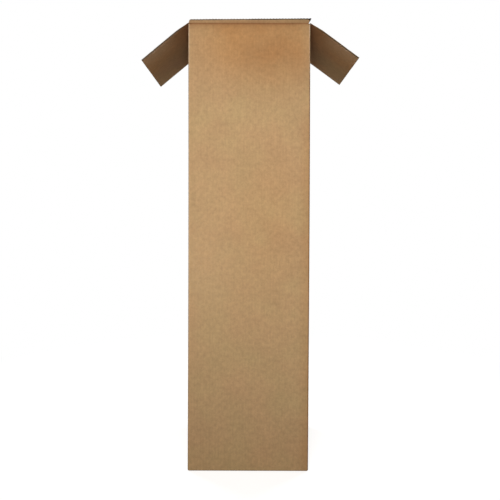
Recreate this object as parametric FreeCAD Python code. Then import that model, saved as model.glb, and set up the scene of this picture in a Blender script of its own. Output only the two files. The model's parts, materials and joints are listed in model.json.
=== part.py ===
"""A tall moving carton for a floor lamp: one folded sheet of single-wall corrugated board, its four top flaps on
their creases, and the tape that shuts the bottom.

Millimetres and degrees. +X is to the right, +Y to the rear, +Z up. The origin is on the floor, under the middle of
the four walls. Every top flap turns about a line just outside its wall's outer face, as a creased flap does: the
wall's top and the flap's root are cut to a mitre, which closes when the flap lies flat over the mouth.
"""

import FreeCAD, Part
import math
import os

from FreeCAD import Placement, Rotation, Vector

# Driving sizes of the carton
inside_width = 305.0  # between the left and right walls
inside_depth = 305.0  # between the front and rear walls
inside_height = 1143.0  # from the closed bottom flaps to the closed top flaps
board = 4.0  # thickness of the corrugated board
layer_gap = 0.3  # air between two closed flaps that lie on each other
meeting_gap = 3.6  # between the tips of two closed flaps

# Creases of the top flaps
hinge_out = 0.1  # the fold line stands this far outside the wall's outer face
mitre_gap = 0.15  # between the two cut faces of a closed mitre
front_droop = -90.0  # each flap's angle from upright, outwards, as it stands at rest
back_droop = 126.0
left_droop = 129.3
right_droop = 125.7

# Slots between neighbouring flaps
flap_end_gap = 0.7  # from a closed inner flap's side edge to the wall beside it
band_inset = 1.5  # the inner top flaps' root band stops this far short of the carton's corner
side_flap_cutback = 10.0  # the outer top flaps stop this far short of the carton's front and rear faces
band_gap = 0.5  # between that band and the outer flaps' ends
slot_drop = 0.7  # the slots are cut this far past a closed inner flap
bottom_slot = 4.0  # width of the slots at the bottom corners, beside the inner bottom flaps
bottom_plate_inset = 2.0  # the outer bottom flaps' side edges, from the carton's side faces

# Glued seam in the rear left corner
lap_width = 35.0  # of the glue lap, which lies inside the rear wall
lap_end_gap = 8.0  # from the lap's ends to the closed flaps above and below it
lap_taper = 15.0  # how much shorter the lap is at its free edge, at each end
raw_edge_inset = 0.5  # the rear wall's raw edge stops this far short of the left face
seam_bevel = 3.0  # cut of the folded corner beside that raw edge

# Tape along the bottom seam
tape_width = 48.0
tape_thickness = 0.1
tape_climb = 60.0  # how far its ends run up the side walls
tape_corner_radius = 1.0

# Sizes that follow
outer_width = inside_width + 2 * board
outer_depth = inside_depth + 2 * board
inner_floor = board + layer_gap  # underside of the inner bottom flaps
floor_top = inner_floor + board
inner_fold_z = floor_top + inside_height + board + hinge_out  # fold line of the front and rear flaps
outer_fold_z = inner_fold_z + board + layer_gap  # fold line of the left and right flaps
mitre_drop = mitre_gap / math.sqrt(2)
slot_floor_z = inner_fold_z - hinge_out - board - slot_drop
band_reach = side_flap_cutback - band_gap + hinge_out  # of the band's far corner as it turns
band_length = math.sqrt(band_reach**2 - (board + hinge_out) ** 2)  # from the fold line

UP = Vector(0, 0, 1)
ACROSS = Vector(0, 1, 0)


def prism(points, low, high):
    """A closed outline of (x, z) points, drawn out along Y from low to high."""
    corners = [Vector(x, low, z) for x, z in points]
    return Part.Face(Part.makePolygon(corners + corners[:1])).extrude(Vector(0, high - low, 0))


def box(low, high):
    size = Vector(*high) - Vector(*low)
    return Part.makeBox(size.x, size.y, size.z, Vector(*low))


def face_outwards(shape, bearing):
    """Turns a shape that was made on the +X side of the carton to the side at this bearing from +X."""
    turned = shape.copy()
    turned.Placement = Placement(Vector(), Rotation(UP, bearing))
    return turned


def wall(half_span, half_run, low, fold_z):
    """A wall on the +X side, from its rounded bottom fold up to the mitre under its top crease.

    half_span is from the carton's middle to the outer face, half_run is half of the wall's own width, and low is
    the underside of the flap that folds in from it.
    """
    inner, top = half_span - board, fold_z - hinge_out - mitre_drop
    middle = board * (1 - math.sqrt(0.5))
    bend = Part.Arc(
        Vector(inner, -half_run, low),
        Vector(half_span - middle, -half_run, low + middle),
        Vector(half_span, -half_run, low + board),
    )
    line = [Vector(x, -half_run, z) for x, z in (
        (half_span, low + board), (half_span, top), (inner, top - board), (inner, low),
    )]
    edges = [bend.toShape()] + [Part.makeLine(a, b) for a, b in zip(line, line[1:])]
    return Part.Face(Part.Wire(edges)).extrude(Vector(0, 2 * half_run, 0))


def bottom_flap(half_span, half_run, low):
    """A closed bottom flap that comes in from the +X side."""
    return box((meeting_gap / 2, -half_run, low), (half_span - board, half_run, low + board))


def wall_outline():
    """The carton's outline from above: three folded corners and, at the rear left, the seam's raw edge."""
    x, y, r = outer_width / 2, outer_depth / 2, board
    middle = r * (1 - math.sqrt(0.5))
    raw_x = -x + raw_edge_inset
    edges, at = [], None
    for sx, sy, turned in ((-1, -1, False), (1, -1, True), (1, 1, False)):
        ends = [Vector(sx * x, sy * (y - r), 0), Vector(sx * (x - r), sy * y, 0)]
        if turned:
            ends.reverse()
        if at:
            edges.append(Part.makeLine(at, ends[0]))
        arc = Part.Arc(ends[0], Vector(sx * (x - middle), sy * (y - middle), 0), ends[1])
        edges.append(arc.toShape())
        at = ends[1]
    seam = [
        (raw_x, y), (raw_x, y - board), (-x + seam_bevel, y - board),
        (-x, y - board - seam_bevel), (-x, -(y - r)),
    ]
    for point in seam:
        edges.append(Part.makeLine(at, Vector(*point, 0)))
        at = edges[-1].Vertexes[-1].Point
    return Part.Face(Part.Wire(edges))


def glue_lap():
    """The strip inside the rear wall that the left wall is glued by, with tapered ends."""
    left, rear = -inside_width / 2, inside_depth / 2
    low, high = floor_top + lap_end_gap, slot_floor_z - lap_end_gap
    outline = [
        (left - board / 2, low), (left + lap_width, low + lap_taper),
        (left + lap_width, high - lap_taper), (left - board / 2, high),
    ]
    return prism(outline, rear - board, rear)


def top_slots():
    """Cuts between neighbouring top flaps, which lower each side wall's top next to a corner."""
    x, y, high = outer_width / 2, outer_depth / 2, outer_fold_z + board
    cuts = []
    for sx in (-1, 1):
        for sy in (-1, 1):
            inner, outer = sorted((sx * (x - board), sx * (x + board)))
            near, far = sorted((sy * (y - board), sy * (y - side_flap_cutback)))
            cuts.append(box((inner, near, slot_floor_z), (outer, far, high)))
    return cuts


def bottom_slots():
    """Cuts between neighbouring bottom flaps, at the foot of each side wall."""
    x, y = outer_width / 2, outer_depth / 2
    cuts = []
    for sx in (-1, 1):
        for sy in (-1, 1):
            inner, outer = sorted((sx * (x - board), sx * (x + board)))
            near, far = sorted((sy * (y - board), sy * (y - board - bottom_slot)))
            cuts.append(box((inner, near, inner_floor), (outer, far, floor_top + slot_drop)))
    return cuts


def tape_seat():
    """The tape is pressed into the outer bottom flaps by its own thickness, so that they still stand flat."""
    return box((-outer_width, -tape_width / 2, 0), (outer_width, tape_width / 2, tape_thickness))


def box_body():
    half_w, half_d = outer_width / 2, outer_depth / 2
    pieces = []
    for bearing in (90, -90):
        pieces.append(face_outwards(wall(half_d, half_w, 0, inner_fold_z), bearing))
        plate = bottom_flap(half_d, half_w - bottom_plate_inset, 0)
        pieces.append(face_outwards(plate, bearing))
    for bearing in (0, 180):
        side = wall(half_w, inside_depth / 2, inner_floor, outer_fold_z)
        pieces.append(face_outwards(side, bearing))
        plate = bottom_flap(half_w, inside_depth / 2 - bottom_slot, inner_floor)
        pieces.append(face_outwards(plate, bearing))
    sheet = pieces[0].fuse(pieces[1:] + [glue_lap()])
    sheet = sheet.common(wall_outline().extrude(Vector(0, 0, outer_fold_z + board)))
    sheet = sheet.cut(top_slots() + bottom_slots() + [tape_seat()])
    return sheet.removeSplitter().Solids[0]


def top_flap(bearing, half_span, fold_z, droop, widths):
    """A top flap, hinged on the wall at this bearing and turned out from upright by its droop.

    widths gives the flap's half width up to each distance from the fold line: [(distance, half width), ...].
    """
    outer_face, inner_face = -hinge_out, -hinge_out - board
    root = hinge_out + mitre_drop
    strips = []
    for reach, half_run in widths:
        section = [
            (outer_face, root), (outer_face, reach), (inner_face, reach), (inner_face, root + board),
        ]
        strips.append(prism(section, -half_run, half_run))
    flap = strips[0].fuse(strips[1:]).removeSplitter() if len(strips) > 1 else strips[0]
    fold = Placement(Vector(half_span + hinge_out, 0, fold_z), Rotation(ACROSS, droop))
    flap.Placement = Placement(Vector(), Rotation(UP, bearing)).multiply(fold)
    return flap.Solids[0]


def flap_length(half_span):
    """From the fold line to the tip, so that the flap nearly meets the one opposite when both are closed."""
    return half_span + hinge_out - meeting_gap / 2


def inner_top_flap(bearing, droop):
    """The front or rear flap, which closes first and fits between the side walls."""
    half_span = outer_depth / 2
    widths = [
        (band_length, outer_width / 2 - band_inset),
        (flap_length(half_span), inside_width / 2 - flap_end_gap),
    ]
    return top_flap(bearing, half_span, inner_fold_z, droop, widths)


def outer_top_flap(bearing, droop):
    """The left or right flap, which closes last and lies on the front and rear ones."""
    half_span = outer_width / 2
    widths = [(flap_length(half_span), outer_depth / 2 - side_flap_cutback)]
    return top_flap(bearing, half_span, outer_fold_z, droop, widths)


def bottom_tape():
    """A strip under the bottom seam, with its ends turned up on the side walls."""
    def outline(offset):
        r = tape_corner_radius + offset
        x, z = outer_width / 2 + offset, tape_thickness - offset
        middle = r * (1 - math.sqrt(0.5))
        points = []
        for side in (-1, 1):
            ends = [
                Vector(side * x, 0, tape_climb),
                Vector(side * x, 0, z + r),
                Vector(side * (x - middle), 0, z + middle),
                Vector(side * (x - r), 0, z),
            ]
            points.append(ends)
        left, right = points
        return [
            Part.makeLine(left[0], left[1]),
            Part.Arc(left[1], left[2], left[3]).toShape(),
            Part.makeLine(left[3], right[3]),
            Part.Arc(right[3], right[2], right[1]).toShape(),
            Part.makeLine(right[1], right[0]),
        ]

    inner, outer = outline(0), outline(tape_thickness)
    ends = [
        Part.makeLine(outer[0].Vertexes[0].Point, inner[0].Vertexes[0].Point),
        Part.makeLine(outer[-1].Vertexes[-1].Point, inner[-1].Vertexes[-1].Point),
    ]
    face = Part.Face(Part.Wire(Part.__sortEdges__(inner + outer + ends)))
    strip = face.extrude(Vector(0, tape_width, 0))
    strip.translate(Vector(0, -tape_width / 2, 0))
    return strip.Solids[0]


def main():
    parts = {
        "box_body": box_body(),
        "front_flap": inner_top_flap(-90, front_droop),
        "back_flap": inner_top_flap(90, back_droop),
        "left_flap": outer_top_flap(180, left_droop),
        "right_flap": outer_top_flap(0, right_droop),
        "bottom_tape": bottom_tape(),
    }
    os.makedirs("parts", exist_ok=True)
    for name, shape in parts.items():
        shape.exportStep(f"parts/{name}.step")
        size = shape.BoundBox
        print(name, shape.isValid(), round(shape.Volume), [
            round(v, 2) for v in (size.XMin, size.XMax, size.YMin, size.YMax, size.ZMin, size.ZMax)
        ])
    print("fold lines at", round(inner_fold_z, 2), round(outer_fold_z, 2))


main()
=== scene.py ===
"""Visual model of a tall corrugated carton, built around its packed construction: the liners and flutes of
its walls and flaps, the crushed creases, the front flap's rolled fold, the glue lap and the taped bottom."""

import json
import math

import bmesh
import bpy
import numpy as np
from bpy.props import FloatProperty, FloatVectorProperty, IntProperty, PointerProperty
from mathutils import Matrix, Vector


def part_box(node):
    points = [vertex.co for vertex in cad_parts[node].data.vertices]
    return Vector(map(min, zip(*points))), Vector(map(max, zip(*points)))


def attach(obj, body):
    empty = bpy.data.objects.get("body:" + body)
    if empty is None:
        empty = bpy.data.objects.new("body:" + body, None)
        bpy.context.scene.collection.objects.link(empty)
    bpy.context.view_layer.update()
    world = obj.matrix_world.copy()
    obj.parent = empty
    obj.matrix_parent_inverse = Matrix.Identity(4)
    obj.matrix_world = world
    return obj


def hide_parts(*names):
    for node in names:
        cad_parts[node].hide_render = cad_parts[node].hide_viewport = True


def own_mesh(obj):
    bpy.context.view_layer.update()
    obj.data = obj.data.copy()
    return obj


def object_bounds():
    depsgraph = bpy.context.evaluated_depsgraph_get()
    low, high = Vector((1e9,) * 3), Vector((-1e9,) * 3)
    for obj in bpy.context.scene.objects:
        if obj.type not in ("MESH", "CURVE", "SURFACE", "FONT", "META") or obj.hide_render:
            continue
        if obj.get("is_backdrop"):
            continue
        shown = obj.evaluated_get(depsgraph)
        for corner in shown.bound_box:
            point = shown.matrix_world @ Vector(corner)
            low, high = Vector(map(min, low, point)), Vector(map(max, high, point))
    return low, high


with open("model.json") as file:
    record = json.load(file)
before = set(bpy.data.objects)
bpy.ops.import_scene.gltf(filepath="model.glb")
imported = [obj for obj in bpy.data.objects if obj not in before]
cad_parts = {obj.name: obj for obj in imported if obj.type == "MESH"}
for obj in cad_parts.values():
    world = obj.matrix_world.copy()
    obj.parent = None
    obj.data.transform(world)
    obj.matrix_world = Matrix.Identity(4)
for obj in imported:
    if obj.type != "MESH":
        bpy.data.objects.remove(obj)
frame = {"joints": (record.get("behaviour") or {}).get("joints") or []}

bl_info = {
    "name": "Lamp Carton",
    "version": (1, 0, 0),
    "blender": (4, 5, 0),
    "location": "3D View > Sidebar > Carton",
    "description": "Builds the board, flaps, folds and tape of a tall moving carton around its construction",
    "category": "Object",
}

MM = 0.001
UP = Vector((0, 0, 1))
CAD_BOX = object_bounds()
BODY_LOW, BODY_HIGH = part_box("box_body")
HALF_WIDTH, HALF_DEPTH = BODY_HIGH.x, BODY_HIGH.y
FRONT_FLAP_LOW, FRONT_FLAP_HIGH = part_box("front_flap")
SIDE_FLAP_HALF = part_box("left_flap")[1].y
BOARD = FRONT_FLAP_HIGH.z - FRONT_FLAP_LOW.z  # this flap lies flat, so its box is one board thick
FILM = 0.1 * MM  # the tape's thickness, which the bottom stands on
STEP = 0.05 * MM  # to each side of a sudden change, so that no two lines of a mesh meet
FLUTE_TRIM = 0.3 * MM  # the fluted sheet stops this far inside the liners' cut edges
# Each mark holds real marks and painted light together: creases, scuffs, stains from hands and tears, with
# painted shade near folds, on the front wall, on the flaps' undersides, along cut edges and in the roll's
# split, and painted highlights on corners and flap edges.
MARKS = ("crease", "wear", "stain", "torn")  # what the finishes read at each point, from 0 to 1
SHARP = math.radians(38)  # an edge that turns more than this stays sharp
FLOOR_RADIUS = 9.0
FLOOR_FADE = (0.8, 1.4)  # metres from the carton's middle

# In millimetres: a panel's lines beside a crease or an edge, and the outer liner's rows from its bottom fold
# up, at a slot's floor, and from its top down. Its rows between those are in metres.
GRADING = (0, 0.4, 0.9, 1.5, 2.2, 3, 4, 5.2, 6.6, 8.4, 11)
FROM_FOOT = (3.2, 8, 15)
SLOT_ROWS = 0.35
FROM_TOP = (30, 22, 16, 11.6, 8.6, 6.4, 4.6, 3.2, 2.2, 1.4, 0.8, 0.35, 0)
ROWS_START, ROWS_END, ROWS_APART = 0.036, 0.03, 0.02

# In millimetres back from the front face and up from the crease: where the roll's front liner starts.
ROLL_START = ((0.55, -0.05), (0.2, 0.5), (0.0, 1.1))

# In millimetres: the heights where the tape's upright part ends and its bend starts, how far outside the
# corner the bend is aimed, and how far inside it the bend ends and the flat part starts.
TAPE_UPRIGHT, TAPE_BEND, TAPE_AIM, TAPE_BENT, TAPE_FLAT = 11, 9.5, 0.8, 4, 12


def length(name, description, millimetres):
    return FloatProperty(
        name=name, description=description, default=millimetres * MM, subtype="DISTANCE", unit="LENGTH",
    )


def share(name, description, default):
    return FloatProperty(name=name, description=description, default=default, min=0, subtype="FACTOR")


def turn(name, description, degrees):
    return FloatProperty(
        name=name, description=description, default=math.radians(degrees), subtype="ANGLE", unit="ROTATION",
    )


def number(name, description, default):
    return FloatProperty(name=name, description=description, default=default)


def colour(name, description, *screen):
    """A colour property whose default is given as it looks on a screen, 0 to 255."""
    linear = [c / 255 / 12.92 if c < 11 else ((c / 255 + 0.055) / 1.055) ** 2.4 for c in screen]
    return FloatVectorProperty(
        name=name, description=description, default=linear, size=3, min=0, max=1, subtype="COLOR",
    )


class BoardSettings(bpy.types.PropertyGroup):
    """Sizes of the corrugated board and of its creases."""

    pitch: length("Flute pitch", "Distance from one flute to the next", 7.8)
    liner: length("Liner", "Thickness of each outer sheet", 0.4)
    medium: length("Medium", "Thickness of the fluted sheet", 0.26)
    slack: length("Glue gap", "Between a flute's crest and its liner", 0.02)
    samples: IntProperty(name="Steps per flute", description="How finely a wave is drawn", default=12, min=6)
    hinge_out: length("Fold offset", "From the outer face to the fold line", 0.1)
    root: length("Crease end", "The wall's outer liner stops this far from the fold line", 0.15)
    flap_root: length("Flap crease end", "The flap's outer liner stops this far from the fold line", 0.68)
    corner_drop: length("Corner drop", "From the fold line down to the outer liner's corners", 1.8)
    inner_root: length("Inner crease end", "The inner liner stops this far from the fold line", 1.35)
    crushed: length("Crushed thickness", "Of the board at its crease", 1.1)
    reach: length("Crease reach", "From the fold line to the uncrushed board", 7.0)
    groove: length("Score depth", "Of the line pressed into the outer liner beside a fold", 0.12)
    bead: length("Fold bead", "Radius of the pressed paper along a top fold", 0.6)
    spacing: length("Mesh spacing", "Between the lines of the larger panels", 12)
    row_spacing: length("Flute row spacing", "Between the lines across the shorter panels' flutes", 20)
    most_rows: IntProperty(name="Most flute rows", description="Across a wall's flutes", default=24, min=2)
    ragged: length("Edge raggedness", "How far the cut edges wander", 0.12)
    rim: length("Edge rim", "Width of the darker line along the cut edges", 1.2)
    # Painted shade: how dark the cut edges are made, because the flutes' open channels there would lie in
    # shade.
    edge_shade: share("Edge shading", "How dark the cut edges are", 0.4)


class CartonSettings(bpy.types.PropertyGroup):
    """Sizes of the folded sheet that the frame's boxes don't give."""

    flap_inset: length("Inner flap clearance", "From an inner flap's side edge to the wall beside it", 0.7)
    band: length("Root band", "How far the inner flaps stay at their full width", 8.6)
    slot_floor: length("Top slot depth", "From the side folds down to the slots' floor", 9.1)
    slot_foot: length("Bottom slot top", "Height of the slots beside the inner bottom flaps", 9.0)
    foot_slot: length("Bottom slot width", "Of the slots beside the inner bottom flaps", 4.0)
    second_floor: length("Inner bottom flaps", "Height of their underside", 4.3)
    meeting_gap: length("Meeting gap", "Between the tips of two closed flaps", 3.6)
    lap_width: length("Glue lap", "Width of the strip inside the rear wall", 35)
    lap_end: length("Glue lap end", "From the lap's ends to the closed flaps", 8)
    lap_taper: length("Glue lap taper", "How much shorter the lap's free edge is, at each end", 15)
    side_reach: length("Side crease reach", "The side flaps are crushed this far from their folds", 40)
    raw_edge: length("Raw edge", "The rear wall stops this far short of the left face", 0.5)
    bevel: length("Seam bevel", "Of the folded corner beside the raw edge", 3)
    left_bow: length("Left wall bow", "How far the left wall leans in at its middle", 0.9)
    right_bow: length("Right wall bow", "How far the right wall bellies out at its middle", 0.9)
    front_bow: length("Front wall bow", "How far the front wall bellies out at its middle", 0.7)
    flap_curl: length("Flap curl", "How far a flap's tip curves away from flat", 0.9)
    nick_at: share("Nick place", "In the side flaps' front edges, from fold to tip", 0.755)
    nick_width: length("Nick width", "Of the worn spot", 5)
    nick_depth: length("Nick depth", "Of the worn spot", 1.1)


class RollSettings(bpy.types.PropertyGroup):
    """The front flap's fold, which stands up in a roll because the flap was bent above its crease."""

    height: length("Height", "Of the roll's crest over the crease, at the right", 14.35)
    left_drop: length("Left drop", "How much lower the crest is at the left", 3.5)
    lean: length("Lean", "How far the roll's front leans out at the shoulder", 1.5)
    radius: length("Crest radius", "Half of the roll's depth", 4.1)
    crown: length("Crown", "Height of the rounded part over the front's shoulder", 5.6)
    foot: length("Foot", "How far back the roll meets the flap", 9.3)
    left_reach: length("Left reach", "How far the roll's foot sticks out past the flap's left edge", 0.8)
    left_skew: length("Left skew", "How much farther in its left end is at the crest", 4.2)
    right_reach: length("Right reach", "From the front liner's foot to the flap's right edge", 3.4)
    right_flare: length("Right flare", "How much farther out the right end is under the crest", 4.0)
    right_tear: length("Right tear", "The front liner is torn back this far under the right end", 6.5)
    right_point: length("Right point", "How far the crest's right end sticks out past the foot", 3.6)
    tear: length("Tear depth", "Of the split along the crest, down to the flutes", 1.0)
    lip_front: share("Front lip", "Where round the crest the split starts, from front to rear", 0.035)
    lip_rear: share("Rear lip", "Where round the crest the split ends", 0.66)
    ripple: length("Ripple", "Height of the flutes that show through the bent liner", 0.12)
    keep: share("Flattened share", "How much of the roll is left when the flap hangs outside", 0.012)


class TapeSettings(bpy.types.PropertyGroup):
    """The tape along the bottom seam."""

    tooth: length("Tooth", "Width of the cutter's teeth at the tape's ends", 2.4)
    tooth_depth: length("Tooth depth", "Of the cutter's teeth", 1.3)
    wrinkle: length("Wrinkle", "Height of the wrinkles at the corners", 0.25)
    edge_inset: length("Corner inset", "How far the tape cuts the bottom corner", 1.9)


class FinishSettings(bpy.types.PropertyGroup):
    """Colours of the papers and the tape; the crease, worn-edge, handled and torn colours also paint shade
    and highlights on the papers.
    """

    kraft: colour("Kraft", "The liner's usual colour", 186, 154, 109)
    kraft_red: colour("Kraft, reddish", "The liner where its fibres are redder", 187, 150, 108)
    # Also the painted shade near folds, on the front wall and at the side flaps' roots.
    crease: colour("Crease", "Paper that was pressed at a fold", 138, 92, 55)
    # Also the painted highlights on corners and flap edges, and part of the painted light on the front's
    # left.
    wear: colour("Worn edge", "Paper that was scuffed", 214, 182, 146)
    # Also the painted shade under the front's top fold, along its right edge and at its foot, and the warm
    # painted shade on the side flaps' undersides.
    stain: colour("Handled area", "Paper reddened by handling", 186, 136, 84)
    # Also the painted shade along cut edges, in the flutes near them, in the roll's split, at its right end
    # and on its cut ends.
    torn: colour("Torn paper", "The flutes and fibres inside a tear", 43, 35, 32)
    medium: colour("Flutes", "The fluted sheet", 150, 124, 96)
    tape: colour("Tape", "The brown film", 160, 116, 68)
    mottle: share("Mottle", "Strength of the small light and dark patches", 0.15)
    washboard: share("Washboard", "How strongly the flutes show through the liner", 0.013)


class StageSettings(bpy.types.PropertyGroup):
    """Floor, light and camera."""

    camera_side: length("Camera side", "To the right of the carton's middle", 1.6)
    camera_distance: length("Camera distance", "In front of the carton's middle", 1537.7)
    camera_height: length("Camera height", "Above the floor", 681.9)
    camera_pitch: turn("Camera pitch", "Above level", -1.008)
    camera_roll: turn("Camera roll", "Clockwise, seen from behind the camera", -0.197)
    lens: number("Lens", "Focal length in millimetres", 38.647)
    shift: number("Shift", "Upward shift of the frame", -0.064)
    shift_side: number("Side shift", "Sideways shift of the frame", 0.00138)
    lamp_height: length("Lamp height", "Above the floor", 878)
    lamp_distance: length("Lamp distance", "In front of the front wall", 1350)
    lamp_side: length("Lamp side", "To the right of the carton's middle", -50)
    lamp_size: length("Lamp size", "Width of the soft lamp", 500)
    lamp_power: number("Lamp power", "In watts", 17.0)
    rear_side: length("Rear lamps' side", "From the carton's middle to each", 1700)
    rear_distance: length("Rear lamps' distance", "Behind the carton's middle", 1500)
    rear_height: length("Rear lamps' height", "Above the floor", 2100)
    rear_size: length("Rear lamps' size", "Width of each", 900)
    rear_power: number("Rear lamps' power", "In watts, of each", 28.0)
    ambient: number("Ambient", "Strength of the even light", 0.1)
    floor: colour("Floor", "The pale floor, as it lights the carton", 114, 113, 111)
    floor_seen: colour("Floor shade", "How much light the seen floor returns", 186, 184, 181)
    floor_glow: number("Floor glow", "Lifts the seen floor to white", 0.76)


GROUPS = {
    "carton_board": BoardSettings,
    "carton_sheet": CartonSettings,
    "carton_roll": RollSettings,
    "carton_tape": TapeSettings,
    "carton_finish": FinishSettings,
    "carton_stage": StageSettings,
}


def rise(x, start, end):
    """0 at the start, 1 at the end, and eased between them."""
    x = np.clip((x - start) / (end - start), 0, 1)
    return x * x * (3 - 2 * x)


def hump(x, middle, width):
    """1 in the middle, and fading to both sides over about this width."""
    return np.exp(-(((x - middle) / width) ** 2))


def wander(x, seed):
    """A smooth irregular line between about -1 and 1, the same for the same seed."""
    waves = ((31, 0.45), (83, 0.35), (190, 0.25), (421, 0.15))
    return sum(size * np.sin(x * step + seed * (1.7 + step % 7)) for step, size in waves)


def stations(start, end, spacing, marks):
    """Distances from start to end, about this far apart, and closer round each mark."""
    found = list(np.linspace(start, end, max(2, round((end - start) / spacing) + 1)))
    for mark in marks:
        found += [mark + sign * step * MM for step in GRADING for sign in (-1, 1)]
    kept = [start]
    for x in sorted(x for x in found if start <= x <= end):
        if x - kept[-1] > 0.25 * MM:
            kept.append(x)
    kept[-1] = end
    return np.array(kept)


def stepped(distances, steps):
    """A half width that changes in steps: each (until, value) holds up to that distance from the fold."""
    value = np.full(len(distances), steps[-1][1], float)
    for until, width in reversed(steps[:-1]):
        value[distances <= until] = width
    return value


class Fold:
    """The line that one top flap turns about, and how the flap stands at rest."""

    def __init__(self, side):
        self.node = side + "_flap"
        joint = next(j for j in frame["joints"] if j["child"] == self.node)
        self.joint = joint["name"]
        self.at = Vector(joint["pos_m"])
        self.out = Vector((self.at.x, self.at.y, 0)).normalized()
        self.span = abs(self.at.x + self.at.y)
        self.lean = math.radians(-90 - joint["range_deg"][0])  # from upright, outwards

    def matrix(self, along, face):
        """Local x runs across the board, y along it from the fold line, and z out of its outer face."""
        across = along.cross(face)
        turned = Matrix((across, along, face)).transposed().to_4x4()
        return Matrix.Translation(self.at) @ turned

    def flap(self):
        up, out = math.cos(self.lean), math.sin(self.lean)
        return self.matrix(UP * up + self.out * out, self.out * up - UP * out)

    def wall(self):
        return self.matrix(-UP, self.out)

    def bottom(self, height):
        """For the closed bottom flap that folds in from the same wall, with its underside at this height."""
        foot = self.matrix(-self.out, -UP)
        foot.translation.z = height
        return foot


FOLDS = {side: Fold(side) for side in ("front", "back", "left", "right")}
FRONT_FOLD, SIDE_FOLD = FOLDS["front"].at.z, FOLDS["left"].at.z


def placed(points, matrix):
    """Points of an array moved by a matrix."""
    turned = np.array(matrix)
    return points @ turned[:3, :3].T + turned[:3, 3]


def bow(points):
    """The walls' slight bow, which dies out at the folds."""
    sheet = bpy.context.scene.carton_sheet
    x, y, z = points[..., 0], points[..., 1], points[..., 2]
    height = np.sin(math.pi * np.clip(z / FRONT_FOLD, 0, 1) ** 1.1)
    moved = points.copy()
    moved[..., 0] += sheet.left_bow * height * rise(x, HALF_WIDTH, -HALF_WIDTH)
    moved[..., 0] += sheet.right_bow * height * rise(x, -HALF_WIDTH, HALF_WIDTH)
    belly = np.cos(math.pi / 2 * np.clip(x / HALF_WIDTH, -1, 1)) ** 2
    moved[..., 1] -= sheet.front_bow * height * belly * rise(y, HALF_DEPTH, -HALF_DEPTH)
    return moved


class Paper:
    """Collects closed sheets of paper, and what the finish needs to know at each point."""

    def __init__(self, shape=None):
        self.shape = shape or (lambda points: points)
        self.points, self.faces, self.maps = [], [], []
        self.marks = {name: [] for name in MARKS}
        self.count = 0

    def add(self, front, back, across, along, **marks):
        """A thin closed sheet between two grids of points; the front's rows times columns face outwards."""
        rows, columns = front.shape[:2]
        half = rows * columns
        grid = np.arange(half).reshape(rows, columns)
        quads = np.stack([grid[:-1, :-1], grid[:-1, 1:], grid[1:, 1:], grid[1:, :-1]], -1).reshape(-1, 4)
        rim = np.concatenate([grid[0], grid[1:, -1], grid[-1, -2::-1], grid[-2:0:-1, 0]])
        after = np.roll(rim, -1)
        sides = np.stack([after, rim, rim + half, after + half], -1)
        self.faces.append(np.concatenate([quads, quads[:, ::-1] + half, sides]) + self.count)
        for side in (front, back):
            self.points.append(self.shape(side.reshape(-1, 3)))
            flat = np.broadcast_arrays(across, along, front[..., 0])
            self.maps.append(np.stack([flat[0].ravel(), flat[1].ravel()], -1))
            for name in MARKS:
                self.marks[name].append(np.broadcast_to(marks.get(name, 0.0), (rows, columns)).ravel())
        self.count += 2 * half

    def piece(self, name, made_of="kraft_liner"):
        mesh = bpy.data.meshes.new(name)
        mesh.from_pydata(np.concatenate(self.points).tolist(), [], np.concatenate(self.faces).tolist())
        corners = np.zeros(len(mesh.loops), np.int32)
        mesh.loops.foreach_get("vertex_index", corners)
        layer = mesh.uv_layers.new(name="board")
        layer.uv.foreach_set("vector", np.concatenate(self.maps)[corners].astype(np.float32).ravel())
        for mark, values in self.marks.items():
            attribute = mesh.attributes.new(mark, "FLOAT", "POINT")
            attribute.data.foreach_set("value", np.concatenate(values).astype(np.float32))
        return finished(name, mesh, made_of)


def finished(name, mesh, *made_of):
    """An object at the origin with this mesh and these materials, smooth but for its real edges."""
    for material in made_of:
        mesh.materials.append(finish(material))
    mesh.validate()
    mesh.shade_smooth()
    mesh.set_sharp_from_angle(angle=SHARP)
    obj = bpy.data.objects.new(name, mesh)
    bpy.context.scene.collection.objects.link(obj)
    return obj


class Panel:
    """A flat stretch of board between two distances from its fold line."""

    def __init__(self, matrix, start, end, widths, thickness=BOARD, creased=True, face=None, curl=0.0):
        board = bpy.context.scene.carton_board
        self.matrix, self.start, self.end = matrix, start, end
        self.widths, self.thickness, self.creased, self.curl = widths, thickness, creased, curl
        self.face = -board.hinge_out if face is None else face
        self.low = self.high = 0.0  # added to the panel's two side edges
        self.nick = 0  # which side edge has the worn spot: -1 or 1
        self.reach = board.reach

    def world(self, points):
        curled = points.copy()
        curled[..., 2] += self.curl * (points[..., 1] / self.end) ** 2
        return placed(curled, self.matrix)

    def depth(self, distance):
        """How thick the board is at this distance from its fold."""
        if not self.creased:
            return np.full_like(distance, self.thickness)
        board = bpy.context.scene.carton_board
        risen = rise(distance, board.inner_root, self.reach)
        return board.crushed + (self.thickness - board.crushed) * risen


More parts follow.
